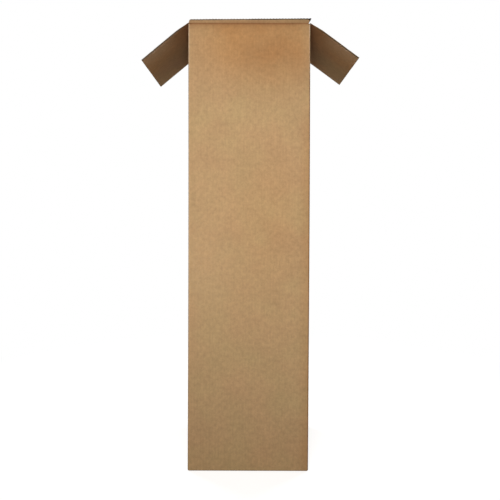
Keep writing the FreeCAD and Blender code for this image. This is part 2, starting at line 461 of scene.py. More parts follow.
def add_liners(paper, panel, which=("outer", "inner")):
    board, sheet = bpy.context.scene.carton_board, bpy.context.scene.carton_sheet
    nick_at = sheet.nick_at * panel.end
    for side in which:
        outer = side == "outer"
        start = panel.start
        if panel.creased:
            start = board.flap_root if outer else board.inner_root
        near = [start, panel.end, nick_at] if panel.nick else [start, panel.end]
        distance = stations(start, panel.end, board.spacing, near)
        for change, width in panel.widths[:-1]:
            distance = distance[abs(distance - change) > 4 * STEP]
            distance = np.sort(np.append(distance, [change - STEP, change + STEP]))
        half = stepped(distance, panel.widths)
        columns = max(8, round(2 * half.max() / board.spacing))
        rim = board.rim / half.max()
        across = np.concatenate([[-1], np.linspace(-1 + rim, 1 - rim, columns - 1), [1]])
        x = half[:, None] * across[None, :]
        y = np.broadcast_to(distance[:, None], x.shape).copy()
        seed = 3 if outer else 8
        edge = board.ragged * wander(distance, seed)
        bite = sheet.nick_depth * hump(distance, nick_at, sheet.nick_width / 2)
        bite = bite * (1 + 0.3 * wander(distance * 9, 5))
        x[:, 0] += panel.low + edge + (bite if panel.nick < 0 else 0)
        x[:, -1] += panel.high + edge[::-1] - (bite if panel.nick > 0 else 0)
        if panel.creased:
            y[-1] += board.ragged * wander(x[-1], seed + 1)
        if outer:
            top = panel.face - panel.creased * board.groove * hump(distance, 0.9 * MM, 0.9 * MM)
        else:
            top = panel.face - panel.depth(distance) + board.liner
        z = np.broadcast_to(top[:, None], x.shape)
        front = np.stack([x, y, z], -1)
        back = np.stack([x, y, z - board.liner], -1)
        marks = liner_marks(panel, outer, x, y, distance[:, None], half[:, None])
        paper.add(panel.world(front), panel.world(back), x, y, **marks)


def liner_marks(panel, outer, x, y, distance, half):
    """How strong each mark is on a panel's liner, from its crease to its cut edges."""
    board, sheet = bpy.context.scene.carton_board, bpy.context.scene.carton_sheet
    crease, wear, stain, torn = (np.zeros_like(x) for mark in MARKS)
    # Painted shade along the cut edges, where the flutes' open channels would be dark.
    torn[:, [0, -1]] = board.edge_shade
    torn[-1] = board.edge_shade
    if panel.creased:
        # The pressed line at the fold, and painted shade that fades away from it over some millimetres.
        crease += 0.5 * hump(distance, 0, 2 * MM) + 0.4 * np.exp(-distance / (9 * MM))
    if panel.nick:
        inside = half - panel.nick * x
        wear += hump(y, sheet.nick_at * panel.end, sheet.nick_width) * hump(inside, 0, 5 * MM)
    if panel.nick and outer:
        # The flap's outer face, seen from below, is warmer and lighter towards its front corner as painted
        # light and a painted highlight, greyer towards its rear as painted shade, and darker near its fold
        # beside the wall as painted shade.
        rear = inside / (2 * half)
        stain += 0.95 - 0.93 * rise(rear, 0.05, 0.75)
        torn += 0.15 * rise(rear, 0.2, 0.7) * (torn == 0)
        wear += 0.55 * rise(rear, 0.4, 0) * rise(y, 25 * MM, 95 * MM)
        fade = (62 if panel.nick < 0 else 72) * MM
        crease += 0.02 + 0.85 * np.exp(-np.maximum(y, 0) / fade)
    return {"crease": crease, "wear": wear, "stain": stain, "torn": torn}


class Nodes:
    """Adds nodes to a tree. An input gets a value or, given a socket, a link."""

    def __init__(self, tree):
        self.tree = tree

    def add(self, kind, sockets=None, **settings):
        made = self.tree.nodes.new(kind)
        for key, value in settings.items():
            setattr(made, key, value)
        for key, value in (sockets or {}).items():
            if isinstance(value, bpy.types.NodeSocket):
                self.tree.links.new(value, made.inputs[key])
            else:
                made.inputs[key].default_value = value
        return made

    def maths(self, operation, a, b=0.0):
        return self.add("ShaderNodeMath", {0: a, 1: b}, operation=operation).outputs[0]

    def product(self, a, b):
        return self.maths("MULTIPLY", a, b)

    def noise(self, place, scale, detail=3.0, rough=0.5):
        """Cloudy values round 0.5, with this many clouds to the metre."""
        sockets = {"Vector": place, "Scale": scale, "Detail": detail, "Roughness": rough}
        return self.add("ShaderNodeTexNoise", sockets).outputs["Fac"]

    def ranged(self, value, low, high, to_low=0.0, to_high=1.0):
        sockets = {0: value, 1: low, 2: high, 3: to_low, 4: to_high}
        return self.add("ShaderNodeMapRange", sockets).outputs[0]

    def mark(self, name):
        return self.add("ShaderNodeAttribute", attribute_name=name).outputs["Fac"]

    def place(self):
        return self.add("ShaderNodeTexCoord").outputs["Object"]

    def flat(self):
        return self.add("ShaderNodeUVMap", uv_map="board").outputs[0]

    def stretched(self, place, *scale):
        return self.add("ShaderNodeMapping", {0: place, 3: scale}).outputs[0]

    def mixed(self, factor, first, second, blend="MIX"):
        """The colour output of a mix, with colours or links for its two sides."""
        made = self.add("ShaderNodeMix", data_type="RGBA", blend_type=blend)
        for socket, value in ((made.inputs[0], factor), (made.inputs[6], first), (made.inputs[7], second)):
            if isinstance(value, bpy.types.NodeSocket):
                self.tree.links.new(value, socket)
            else:
                socket.default_value = (*value, 1) if socket.type == "RGBA" else value
        return made.outputs[2]

    def toned(self, paint, tone):
        """A colour made darker or lighter by a factor."""
        grey = self.add("ShaderNodeCombineColor", {0: tone, 1: tone, 2: tone}).outputs[0]
        return self.mixed(1.0, paint, grey, "MULTIPLY")

    def seen_by_eye(self):
        """1 for rays that show the background: from the camera, or mirrored or let through by a piece."""
        rays = self.add("ShaderNodeLightPath").outputs
        seen = self.maths("MAXIMUM", rays["Is Camera Ray"], rays["Is Glossy Ray"])
        return self.maths("MAXIMUM", seen, rays["Is Transmission Ray"])


def fluted_tree():
    """Geometry Nodes for a fluted sheet: a row of waves across X, drawn out along Y, with a thickness."""
    tree = bpy.data.node_groups.new("Fluted paper", "GeometryNodeTree")
    tree.interface.new_socket("Geometry", in_out="OUTPUT", socket_type="NodeSocketGeometry")
    for name, default in (("Width", 0.3), ("Length", 0.15), ("Pitch", 0.0078), ("Depth", 0.0032),
                          ("Thickness", 0.00026), ("Steps per Flute", 12.0), ("Row Spacing", 0.02)):
        made = tree.interface.new_socket(name, in_out="INPUT", socket_type="NodeSocketFloat")
        made.default_value = default
    tree.interface.new_socket("Material", in_out="INPUT", socket_type="NodeSocketMaterial")
    nodes = Nodes(tree)
    given = nodes.add("NodeGroupInput").outputs

    flutes = nodes.maths("DIVIDE", given["Width"], given["Pitch"])
    steps = nodes.maths("CEIL", nodes.product(flutes, given["Steps per Flute"]))
    rows = nodes.maths("CEIL", nodes.maths("DIVIDE", given["Length"], given["Row Spacing"]))
    grid = nodes.add("GeometryNodeMeshGrid", {
        "Size X": given["Width"], "Size Y": given["Length"],
        "Vertices X": nodes.maths("ADD", steps, 1.0), "Vertices Y": nodes.maths("ADD", rows, 1.0),
    })
    place = nodes.add("GeometryNodeInputPosition").outputs[0]
    across = nodes.add("ShaderNodeSeparateXYZ", {0: place}).outputs["X"]
    turns = nodes.product(nodes.maths("DIVIDE", across, given["Pitch"]), 2 * math.pi)
    swing = nodes.maths("DIVIDE", nodes.maths("SUBTRACT", given["Depth"], given["Thickness"]), 2.0)
    wave = nodes.product(nodes.maths("SINE", turns), swing)
    offset = nodes.add("ShaderNodeCombineXYZ", {
        "Y": nodes.maths("DIVIDE", given["Length"], 2.0),
        "Z": nodes.maths("SUBTRACT", wave, nodes.maths("DIVIDE", given["Thickness"], 2.0)),
    })
    waved = nodes.add("GeometryNodeSetPosition", {
        "Geometry": grid.outputs["Mesh"], "Offset": offset.outputs[0],
    })
    raised = nodes.add("GeometryNodeExtrudeMesh", {
        "Mesh": waved.outputs[0], "Offset Scale": given["Thickness"], "Individual": False,
    })
    under = nodes.add("GeometryNodeFlipFaces", {"Mesh": waved.outputs[0]})
    joined = nodes.add("GeometryNodeJoinGeometry")
    tree.links.new(raised.outputs["Mesh"], joined.inputs[0])
    tree.links.new(under.outputs["Mesh"], joined.inputs[0])
    closed = nodes.add("GeometryNodeMergeByDistance", {"Geometry": joined.outputs[0], "Distance": 0.00001})
    realised = nodes.add("GeometryNodeRealizeInstances", {"Geometry": closed.outputs[0]})
    painted = nodes.add("GeometryNodeSetMaterial", {
        "Geometry": realised.outputs[0], "Material": given["Material"],
    })
    nodes.add("NodeGroupOutput", {"Geometry": painted.outputs[0]})
    return tree


class Flutes:
    """Collects the fluted sheets of one piece."""

    def __init__(self):
        self.tree = fluted_tree()
        self.collected = bmesh.new()

    def add(self, panel, shape=None):
        board = bpy.context.scene.carton_board
        start = board.reach if panel.creased else panel.start + FLUTE_TRIM
        half = min(width for until, width in panel.widths) - FLUTE_TRIM
        run = panel.end - FLUTE_TRIM - start
        values = {
            "Width": 2 * half + panel.high - panel.low,
            "Length": run,
            "Row Spacing": max(board.row_spacing, run / board.most_rows),
            "Pitch": board.pitch,
            "Depth": panel.thickness - 2 * (board.liner + board.slack),
            "Thickness": board.medium,
            "Steps per Flute": float(board.samples),
            "Material": finish("fluted_medium"),
        }
        holder = bpy.data.objects.new("fluted_paper", bpy.data.meshes.new("fluted_paper"))
        bpy.context.scene.collection.objects.link(holder)
        modifier = holder.modifiers.new("Flutes", "NODES")
        modifier.node_group = self.tree
        for item in self.tree.interface.items_tree:
            if item.in_out == "INPUT" and item.name in values:
                modifier[item.identifier] = values[item.name]
        evaluated = holder.evaluated_get(bpy.context.evaluated_depsgraph_get())
        mesh = bpy.data.meshes.new_from_object(evaluated)
        bpy.data.objects.remove(holder)
        points = np.zeros(len(mesh.vertices) * 3, np.float32)
        mesh.vertices.foreach_get("co", points)
        points = points.reshape(-1, 3).astype(float)
        # Painted shade: the fluted sheet darkens within a flute of its cut edges, where its open channels
        # would be in shade.
        beside = half - np.abs(points[:, 0])
        torn = mesh.attributes.new("torn", "FLOAT", "POINT")
        torn.data.foreach_set("value", (0.75 * rise(beside, board.pitch, 0)).astype(np.float32))
        # Towards a crease the waves are pressed down with the board, and stay between its liners.
        depth = panel.depth(points[:, 1] + start)
        points[:, 2] *= 1 - (panel.thickness - depth) / values["Depth"]
        points += ((panel.high + panel.low) / 2, start, panel.face)
        points[:, 2] -= depth / 2
        points = panel.world(points)
        if shape:
            points = shape(points)
        mesh.vertices.foreach_set("co", points.astype(np.float32).ravel())
        self.collected.from_mesh(mesh)
        bpy.data.meshes.remove(mesh)

    def piece(self, name):
        mesh = bpy.data.meshes.new(name)
        self.collected.to_mesh(mesh)
        self.collected.free()
        mesh.materials.clear()
        return finished(name, mesh, "fluted_medium")


def outline_columns(board, sheet):
    """The outer liner seen from above, from the bevel beside the glue lap round to the rear wall's raw edge.

    Each column is x, y, the outward direction, the liner's top and bottom, and the bottom fold's radius.
    """
    x, y = HALF_WIDTH, HALF_DEPTH
    foot_half = y - BOARD - sheet.foot_slot
    slot_top = SIDE_FOLD - sheet.slot_floor
    ends = (FRONT_FOLD - board.root, BODY_LOW.z + FILM, BOARD - FILM)
    columns = []

    def side_wall(sign, direction):
        marks = [s * m + t for m in (SIDE_FLAP_HALF, foot_half) for s in (-1, 1) for t in (-STEP, STEP)]
        run = y - BOARD - 2 * STEP
        last = y - BOARD - sheet.bevel if sign < 0 else y
        places = [*np.linspace(-run, run, round(2 * y / board.spacing)), *marks]
        places = sorted(place for place in places if place <= last)
        if sign < 0:
            places.append(last)
        for place in places[::direction]:
            top = SIDE_FOLD - board.root if abs(place) < SIDE_FLAP_HALF else slot_top
            low, radius = (sheet.second_floor, BOARD) if abs(place) < foot_half else (sheet.slot_foot, 0.0)
            columns.append((sign * x, place, sign, 0.0, top, low, radius))

    def corner(sx, sy, start):
        # The front and back flaps' roots pass over the corners, so the corners stop lower.
        for angle in np.radians(start + np.linspace(0, 90, 8)):
            out = math.cos(angle), math.sin(angle)
            place = sx * (x - BOARD) + BOARD * out[0], sy * (y - BOARD) + BOARD * out[1]
            columns.append((*place, *out, FRONT_FOLD - board.corner_drop, *ends[1:]))

    def long_wall(sign, begin, end):
        for place in np.linspace(begin, end, round(abs(end - begin) / board.spacing) + 1)[1:]:
            columns.append((place, sign * y, 0.0, sign, *ends))

    slant = math.sqrt(0.5)
    for along, down in ((sheet.bevel, STEP), (sheet.bevel / 2, sheet.bevel / 2)):
        columns.append((-x + along, y - BOARD - down, -slant, slant, slot_top, sheet.slot_foot, 0.0))
    side_wall(-1, -1)
    corner(-1, -1, 180)
    long_wall(-1, -(x - BOARD), x - BOARD - STEP)
    corner(1, -1, 270)
    side_wall(1, 1)
    corner(1, 1, 0)
    long_wall(1, x - BOARD, -x + sheet.raw_edge)
    return np.array(columns)


def outline_rows(columns):
    """The outer liner's rows, from the bottom fold up: their height, the surface's turn and its inset."""
    top, low, radius = columns[:, 4], columns[:, 5], columns[:, 6]
    flat = np.zeros(len(columns))
    rows = []
    # The bottom fold's rows start just short of level.
    for k, angle in enumerate(np.radians(np.linspace(86, 0, 8))):
        height = np.where(radius > 0, low + radius * (1 - math.sin(angle)), low + SLOT_ROWS * MM * k)
        rows.append((height, np.where(radius > 0, angle, 0.0), radius * (1 - math.cos(angle))))
    foot = rows[-1][0]
    rows += [(foot + up * MM, flat, flat) for up in FROM_FOOT]
    rows += [(flat + z, flat, flat) for z in np.arange(ROWS_START, FRONT_FOLD - ROWS_END, ROWS_APART)]
    rows += [(top - down * MM, flat, flat) for down in FROM_TOP]
    return np.array(rows).swapaxes(0, 1)


def add_outer_liner(paper, board, sheet):
    """The outer liner of all four walls as one sheet, with its rounded bottom folds."""
    columns = outline_columns(board, sheet)
    at, out, top = columns[:, :2], columns[:, 2:4], columns[:, 4]
    z, bend, inset = outline_rows(columns)
    below = top[None, :] - z
    scored = (top > SIDE_FOLD - sheet.slot_floor + 2 * MM)[None, :] & (z > 0.1)
    inset = inset + scored * board.groove * hump(below, 0.8 * MM, 0.9 * MM)
    outer = np.empty((*z.shape, 3))
    outer[..., :2] = at[None] - out[None] * inset[..., None]
    outer[..., 2] = z
    normal = np.concatenate([out[None] * np.cos(bend)[..., None], -np.sin(bend)[..., None]], -1)
    inner = outer - board.liner * normal
    path = np.concatenate([[0], np.cumsum(np.linalg.norm(np.diff(at, axis=0), axis=1))])

    front = at[:, 1] < 0
    corner = (np.abs(at[:, 0]) > HALF_WIDTH - BOARD) & (np.abs(at[:, 1]) > HALF_DEPTH - BOARD)
    right_front = (corner & (at[:, 0] > 0) & front)[None, :]
    # The pressed score line below the top folds, and painted shade that fades down from it, less towards the
    # front's right end; then painted shade in soft places on the front wall.
    crease = scored * (0.25 * hump(below, 0, 2 * MM) + 0.75 * np.exp(-below / (8 * MM)))
    crease = crease * (1 - 0.3 * rise(outer[..., 0], 0.1, 0.13) * front) + front_painted_shade(outer)
    # Painted shade down the rounded right front corner, less near its top, and a little on the other
    # corners.
    crease = crease + corner * np.where(right_front, 0.5 - 0.4 * rise(z, 1.02, 1.06), 0.08)
    # The corners are lighter, partly from wear and partly as a painted highlight where the rounded board
    # turns to the light, more so higher up.
    worn_and_lit = 0.15 + 0.5 * rise(z, 0.15, 0.45) + 0.4 * rise(z, 1.02, 1.05)
    worn_and_lit = np.where(right_front, 0.65 * rise(z, 1.0, 1.06) + 0.4 * rise(z, 1.12, 1.14), worn_and_lit)
    # Painted light: a lighter, warmer area on the left of the front wall, as if more light fell there.
    pale = hump(outer[..., 0], -0.13, 0.1) * hump(z, 0.53, 0.17) * front
    wear = corner * worn_and_lit * (1 + 0.2 * wander(z, 2)) + 0.26 * pale
    stain = handling_and_shade(outer) + 0.3 * pale
    along = np.broadcast_to(path[None], z.shape)
    paper.add(outer, inner, along, z, crease=crease, wear=wear, stain=stain)


# The next two paint places on the front wall: the first reddens and darkens it, partly as a stain and partly
# as painted shade, and the second is painted shade alone. Their numbers are strengths, and x and z in
# metres: where a place starts and ends, or its middle and its half width. The last rise keeps them to the
# front face.
def handling_and_shade(points):
    """How much the front wall is reddened and darkened, partly by hands and partly as painted shade: most
    under its top fold, then along its right edge and at its foot.
    """
    x, y, z = points[..., 0], points[..., 1], points[..., 2]
    under = np.where(z < 1.11, hump(z, 1.11, 0.085), 1.0)
    along = 0.13 + 0.15 * rise(x, -0.155, -0.135) + 0.47 * rise(x, -0.15, -0.03)
    along = along - 0.4 * rise(x, 0.132, 0.148)
    edge_shade = under * along * (1 + 0.12 * wander(x * 0.35 + z * 0.2, 3) + 0.1 * wander(z * 0.5, 7))
    edge_shade = edge_shade + 0.22 * hump(x, 0.055, 0.09) * hump(z, 0.66, 0.17)
    edge_shade = edge_shade + 0.22 * hump(x, 0.06, 0.075) * hump(z, 1.045, 0.06)
    edge_shade = edge_shade + 0.3 * rise(x, 0.128, 0.154) * rise(z, 1.0, 0.8) + 0.12 * hump(z, 0, 0.08)
    return np.clip(edge_shade, 0, 1) * rise(y, -0.15, -0.155)


def front_painted_shade(points):
    """Painted shade on the front wall: under its top, right of the middle, and along its right edge lower
    down.
    """
    x, y, z = points[..., 0], points[..., 1], points[..., 2]
    dark = 0.14 * hump(x, 0.072, 0.05) * hump(z, 1.08, 0.032)
    dark = dark + 0.19 * rise(x, -0.09, 0.01) * hump(z, 1.06, 0.065)
    dark = dark + 0.1 * rise(x, 0.12, 0.15) * rise(z, 1.0, 0.88)
    return dark * rise(y, -0.15, -0.155)


def add_lap(paper, board, sheet):
    """The glue lap inside the rear wall: two liners with tapered ends."""
    left, rear = -HALF_WIDTH + BOARD, HALF_DEPTH - BOARD
    low = sheet.second_floor + BOARD + sheet.lap_end
    high = SIDE_FOLD - sheet.slot_floor - sheet.lap_end
    x = np.linspace(left, left + sheet.lap_width, 6)
    taper = sheet.lap_taper * (x - left) / sheet.lap_width
    up = np.linspace(0, 1, 60)[:, None]
    z = (low + taper)[None] + up * ((high - low) - 2 * taper)[None]
    x = np.broadcast_to(x[None], z.shape)
    for depth in (STEP, BOARD - board.liner):
        back = np.stack([x, np.full_like(z, rear - depth - board.liner), z], -1)
        front = np.stack([x, np.full_like(z, rear - depth), z], -1)
        # Seen from the rear, x runs the other way.
        paper.add(front[:, ::-1], back[:, ::-1], x[:, ::-1], z[:, ::-1])


def wall_panels(board, sheet):
    """Each wall's inner side, and the stretch that its flutes fill."""
    inner = HALF_DEPTH - BOARD
    side_end = SIDE_FOLD - sheet.second_floor - BOARD
    panels = {}
    for side, fold in FOLDS.items():
        if side in ("front", "back"):
            end = FRONT_FOLD - BOARD
            steps = [(end, HALF_WIDTH - BOARD)]
        else:
            end = side_end
            steps = [
                (sheet.slot_floor, SIDE_FLAP_HALF), (SIDE_FOLD - sheet.slot_foot, inner),
                (end, inner - sheet.foot_slot),
            ]
        panels[side] = Panel(fold.wall(), board.root, end, steps)
    panels["back"].low = -(BOARD - sheet.raw_edge)
    return panels


def bottom_panels(board, sheet):
    for side, fold in FOLDS.items():
        flush = side in ("front", "back")
        height = FILM if flush else sheet.second_floor
        half = HALF_WIDTH - BOARD if flush else HALF_DEPTH - BOARD - sheet.foot_slot
        thickness = BOARD - FILM if flush else BOARD
        end = fold.span - sheet.meeting_gap / 2
        yield Panel(fold.bottom(height), BOARD + board.hinge_out, end, [(end, half)], thickness, False, 0.0)


class CARTON_OT_walls(bpy.types.Operator):
    """Build the four walls: the outer liner round them, their inner liners, the glue lap and the flutes"""

    bl_idname = "carton.walls"
    bl_label = "Walls and Glue Lap"

    def execute(self, context):
        board, sheet = context.scene.carton_board, context.scene.carton_sheet
        outer, inner, flutes = Paper(bow), Paper(bow), Flutes()
        add_outer_liner(outer, board, sheet)
        panels = wall_panels(board, sheet)
        for panel in panels.values():
            add_liners(inner, panel, ("inner",))
        add_lap(inner, board, sheet)
        for side, panel in panels.items():
            if side in ("left", "right"):
                panel.widths = [(panel.end, HALF_DEPTH - BOARD)]
                panel.start, panel.creased = sheet.slot_floor, False
                panel.end = SIDE_FOLD - sheet.slot_foot
            if side == "left":
                panel.high = -sheet.bevel
            flutes.add(panel, bow)
        liner = outer.piece("wall_outer_liner")
        for piece in (liner, inner.piece("wall_inner_liners"), flutes.piece("wall_flutes")):
            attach(piece, "carton")
        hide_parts("box_body")
        return {"FINISHED"}


class CARTON_OT_creases(bpy.types.Operator):
    """Build the pressed paper that joins the walls to their flaps: thin beads round the fold lines"""

    bl_idname = "carton.creases"
    bl_label = "Fold Creases"

    def execute(self, context):
        board = context.scene.carton_board
        paper = Paper()
        turns = np.linspace(0, 2 * math.pi, 13)[:-1]
        for side in ("back", "left", "right"):
            fold = FOLDS[side]
            low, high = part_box(fold.node)
            half = (high.x if side == "back" else high.y) - board.bead
            x = np.linspace(-half, half, 24)[:, None]
            radius = board.bead * (1 + 0.12 * wander(x, 4))
            ring = np.stack(np.broadcast_arrays(x, radius * np.cos(turns), radius * np.sin(turns)), -1)
            ring = placed(ring, fold.wall())
            upper, lower = ring[:, :7], ring[:, [0, 11, 10, 9, 8, 7, 6]]
            paper.add(upper, lower, x, turns[:7][None] * board.bead, crease=0.9)
        piece = paper.piece("fold_creases")
        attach(piece, "carton")
        return {"FINISHED"}


class CARTON_OT_bottom(bpy.types.Operator):
    """Build the closed bottom flaps: their liners and flutes"""

    bl_idname = "carton.bottom"
    bl_label = "Bottom Flaps"

    def execute(self, context):
        paper, flutes = Paper(), Flutes()
        for panel in bottom_panels(context.scene.carton_board, context.scene.carton_sheet):
            add_liners(paper, panel)
            flutes.add(panel)
        for piece in (paper.piece("bottom_flap_liners"), flutes.piece("bottom_flap_flutes")):
            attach(piece, "carton")
        return {"FINISHED"}


class CARTON_OT_flaps(bpy.types.Operator):
    """Build the four top flaps on their creases"""

    bl_idname = "carton.flaps"
    bl_label = "Top Flaps"

    def execute(self, context):
        board, sheet = context.scene.carton_board, context.scene.carton_sheet
        for side, fold in FOLDS.items():
            end = fold.span - sheet.meeting_gap / 2
            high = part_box(fold.node)[1]
            if side in ("front", "back"):
                widths = [(sheet.band, high.x), (end, HALF_WIDTH - BOARD - sheet.flap_inset)]
                panel = Panel(fold.flap(), board.root, end, widths, curl=-sheet.flap_curl)
            else:
                panel = Panel(fold.flap(), board.root, end, [(end, high.y)], curl=sheet.flap_curl)
                panel.nick = -1 if panel.matrix[1][0] > 0 else 1  # the edge that is nearer the front
                panel.reach = sheet.side_reach
            paper, flutes = Paper(), Flutes()
            add_liners(paper, panel)
            flutes.add(panel)
            liners = paper.piece(fold.node + "_liners")
            for piece in (liners, flutes.piece(fold.node + "_flutes")):
                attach(piece, fold.node)
            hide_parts(fold.node)
        return {"FINISHED"}


def crest_point(roll, way, sunk):
    """How far back and how high the crest is, this far round it and sunk this deep.

    The powers under 1 make it fuller than an ellipse.
    """
    cosine, sine = -np.cos(math.pi * way), np.clip(np.sin(math.pi * way), 0, 1)
    back = roll.radius - roll.lean + (roll.radius - sunk) * np.sign(cosine) * np.abs(cosine) ** 0.8
    return back, roll.height - roll.crown + (roll.crown - sunk) * sine**0.75


def roll_section(roll):
    """The roll seen from its end, as rows of: how far back from the front face, how high over the crease,
    and how far round the crest, which is 0 at its front and 1 at its rear, -1 below the front and 2 below
    the rear.
    """
    shoulder = roll.height - roll.crown
    rows = [(back * MM, up * MM, -1) for back, up in ROLL_START]
    neck = rows[-1][1]
    for up in np.linspace(0, 1, 7)[1:-1]:
        rows.append((-roll.lean * up, neck + (shoulder - neck) * up, -1))
    front, rear = roll.lip_front, roll.lip_rear
    ways = [0, front / 2, front, front + 0.012, *np.linspace(front + 0.04, rear - 0.04, 19)]
    ways += [rear - 0.012, rear, *np.linspace(rear, 1, 9)[1:]]
    rows += [(*crest_point(roll, way, 0.0), way) for way in ways]
    # The rear slopes down to the flap, steep at first.
    back = 2 * roll.radius - roll.lean
    for way in np.linspace(0, 1, 9)[1:]:
        down = shoulder * (1 - way) ** 1.15 - 0.05 * MM * way
        rows.append((back + (roll.foot - back) * way**2.6, down, 2))
    return np.array(rows)


def roll_ends(roll, section):
    """Where each row of the roll's section ends, at its left and at its right."""
    height, crest = section[:, 1], section[:, 2]
    up = np.clip(height / roll.height, 0, 1)
    left = FRONT_FLAP_LOW.x - roll.left_reach + roll.left_skew * up
    flared = FRONT_FLAP_HIGH.x - roll.right_reach + roll.right_flare * up
    torn = flared - roll.right_tear * rise(height, roll.height - 7 * MM, roll.height - 3 * MM)
    step = rise(crest, roll.lip_front, roll.lip_front + 0.03)
    right = np.where(crest < 0, torn, torn * (1 - step) + (flared + roll.right_point) * step)
    rear = flared + roll.right_point * 0.8 * up
    right = np.where(crest > 1, rear, right - 0.8 * MM * np.clip(crest, 0, 1))
    return left[:, None], right[:, None]


class CARTON_OT_roll(bpy.types.Operator):
    """Build the rolled fold along the front edge, where the front flap was bent above its crease"""

    bl_idname = "carton.roll"
    bl_label = "Front Rolled Fold"

    def execute(self, context):
        board, roll = context.scene.carton_board, context.scene.carton_roll
        fold = FOLDS["front"]
        section = roll_section(roll)
        left, right = roll_ends(roll, section)
        columns = int((right.max() - left.min()) / board.pitch * board.samples)
        way = np.linspace(0, 1, columns + 1)[None]
        x = left + (right - left) * way
        back, height, crest = (np.broadcast_to(part[:, None], x.shape).copy() for part in section.T)
        flute = np.cos(2 * math.pi * x / board.pitch + 0.6 * wander(x * 0.4, 4))
        valley = 0.5 - 0.5 * flute
        # The liner has split along the crest, which lays the flutes bare between two ragged lips.
        bare = (crest >= roll.lip_front + 0.01) & (crest <= roll.lip_rear - 0.01)
        around = (crest >= 0) & (crest <= 1)
        lips = hump(crest, roll.lip_front, 0.05) + hump(crest, roll.lip_rear, 0.05)
        ragged = np.clip(crest + 0.02 * wander(x * 1.5, 2) * lips, 0, 1)
        bent = np.where(around, np.sin(math.pi * np.clip(crest, 0, 1)), 0)
        sunk = np.where(bare, roll.tear * (0.3 + 0.7 * valley), -roll.ripple * flute * bent)
        crest_back, crest_up = crest_point(roll, ragged, sunk)
        y, z = np.where(around, crest_back, back), np.where(around, crest_up, height)
        z = z * (1 - roll.left_drop / roll.height * (1 - way) ** 1.2) + bent * 0.3 * MM * wander(x * 0.6, 9)
        y = y + bent * 0.25 * MM * wander(x * 0.5, 1)
        points = np.stack([x, fold.at.y + board.hinge_out + y, fold.at.z + z], -1)

        # How strong each mark is, along the roll and up it. The roll's front is darkened towards its foot as
        # painted shade, with the pressed line at the foot. The split's bare flutes and its lip, the roll's
        # right end and a band under the lip are darkened as painted shade, the split being a real tear as
        # well. A lighter band lies under the lip.
        end = FRONT_FLAP_HIGH.x
        deep = (0.78 + 0.22 * rise(way, 0.25, 0.65)) * (1 - 0.18 * rise(crest, 0.36, 0.46))
        torn = np.where(bare, deep * (0.9 + 0.1 * valley), 0.3 * deep * hump(crest, roll.lip_front, 0.05))
        torn = np.maximum(torn, rise(x, end - 4 * MM, end - 1 * MM) * (crest >= roll.lip_front))
        painted_lip_shade = 0.05 + (0.08 + 0.3 * rise(way, 0.55, 0.1)) * rise(height, 7.5 * MM, 9.5 * MM)
        pressed = 0.5 * hump(height, 0, 1.5 * MM) * (crest < 0) * (back < 2 * MM)
        folded = (0.5 - 0.44 * rise(height, 7.5 * MM, 10 * MM)) * (0.7 + 0.3 * rise(way, 0.15, 0.45))
        obj = roll_mesh(points, x, height, {
            "crease": np.where(bare, 0, folded + pressed),
            "wear": 0.2 * hump(height, 9.8 * MM, 1.4 * MM) * (crest < 0.5),
            "torn": np.clip(torn, painted_lip_shade * (crest < roll.lip_front), 1),
        })
        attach(obj, fold.node)
        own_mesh(obj)
        return {"FINISHED"}


def roll_mesh(points, across, along, marks):
    """A closed tube of these rows of points, whose ends are hollowed to show the cut board."""
    rows, columns = points.shape[:2]
    made = bmesh.new()
    layers = {name: made.verts.layers.float.new(name) for name in MARKS}
    uv = made.loops.layers.uv.new("board")
    grid = [[made.verts.new(points[r, c]) for c in range(columns)] for r in range(rows)]
    place = {grid[r][c]: (across[r, c], along[r, c]) for r in range(rows) for c in range(columns)}
    for name, values in marks.items():
        for r in range(rows):
            for c in range(columns):
                grid[r][c][layers[name]] = values[r, c]
    for row, after in zip(grid, grid[1:] + grid[:1]):
        for c in range(columns - 1):
            made.faces.new((row[c], row[c + 1], after[c + 1], after[c]))
    for c, inward in ((0, 1), (columns - 1, -1)):
        centre = points[:, c].mean(axis=0)
        centre[0] = inward * (max(inward * points[:, c, 0]) + 2.5 * MM)
        hub = made.verts.new(centre)
        place[hub] = (centre[0], 0.0)
        for row, after in zip(grid, grid[1:] + grid[:1]):
            made.faces.new((row[c], after[c], hub)).material_index = 1
    for face in made.faces:
        for corner in face.loops:
            corner[uv].uv = place[corner.vert]
    bmesh.ops.recalc_face_normals(made, faces=made.faces)
    mesh = bpy.data.meshes.new("front_rolled_fold")
    made.to_mesh(mesh)
    made.free()
    return finished("front_rolled_fold", mesh, "kraft_liner", "cut_board")


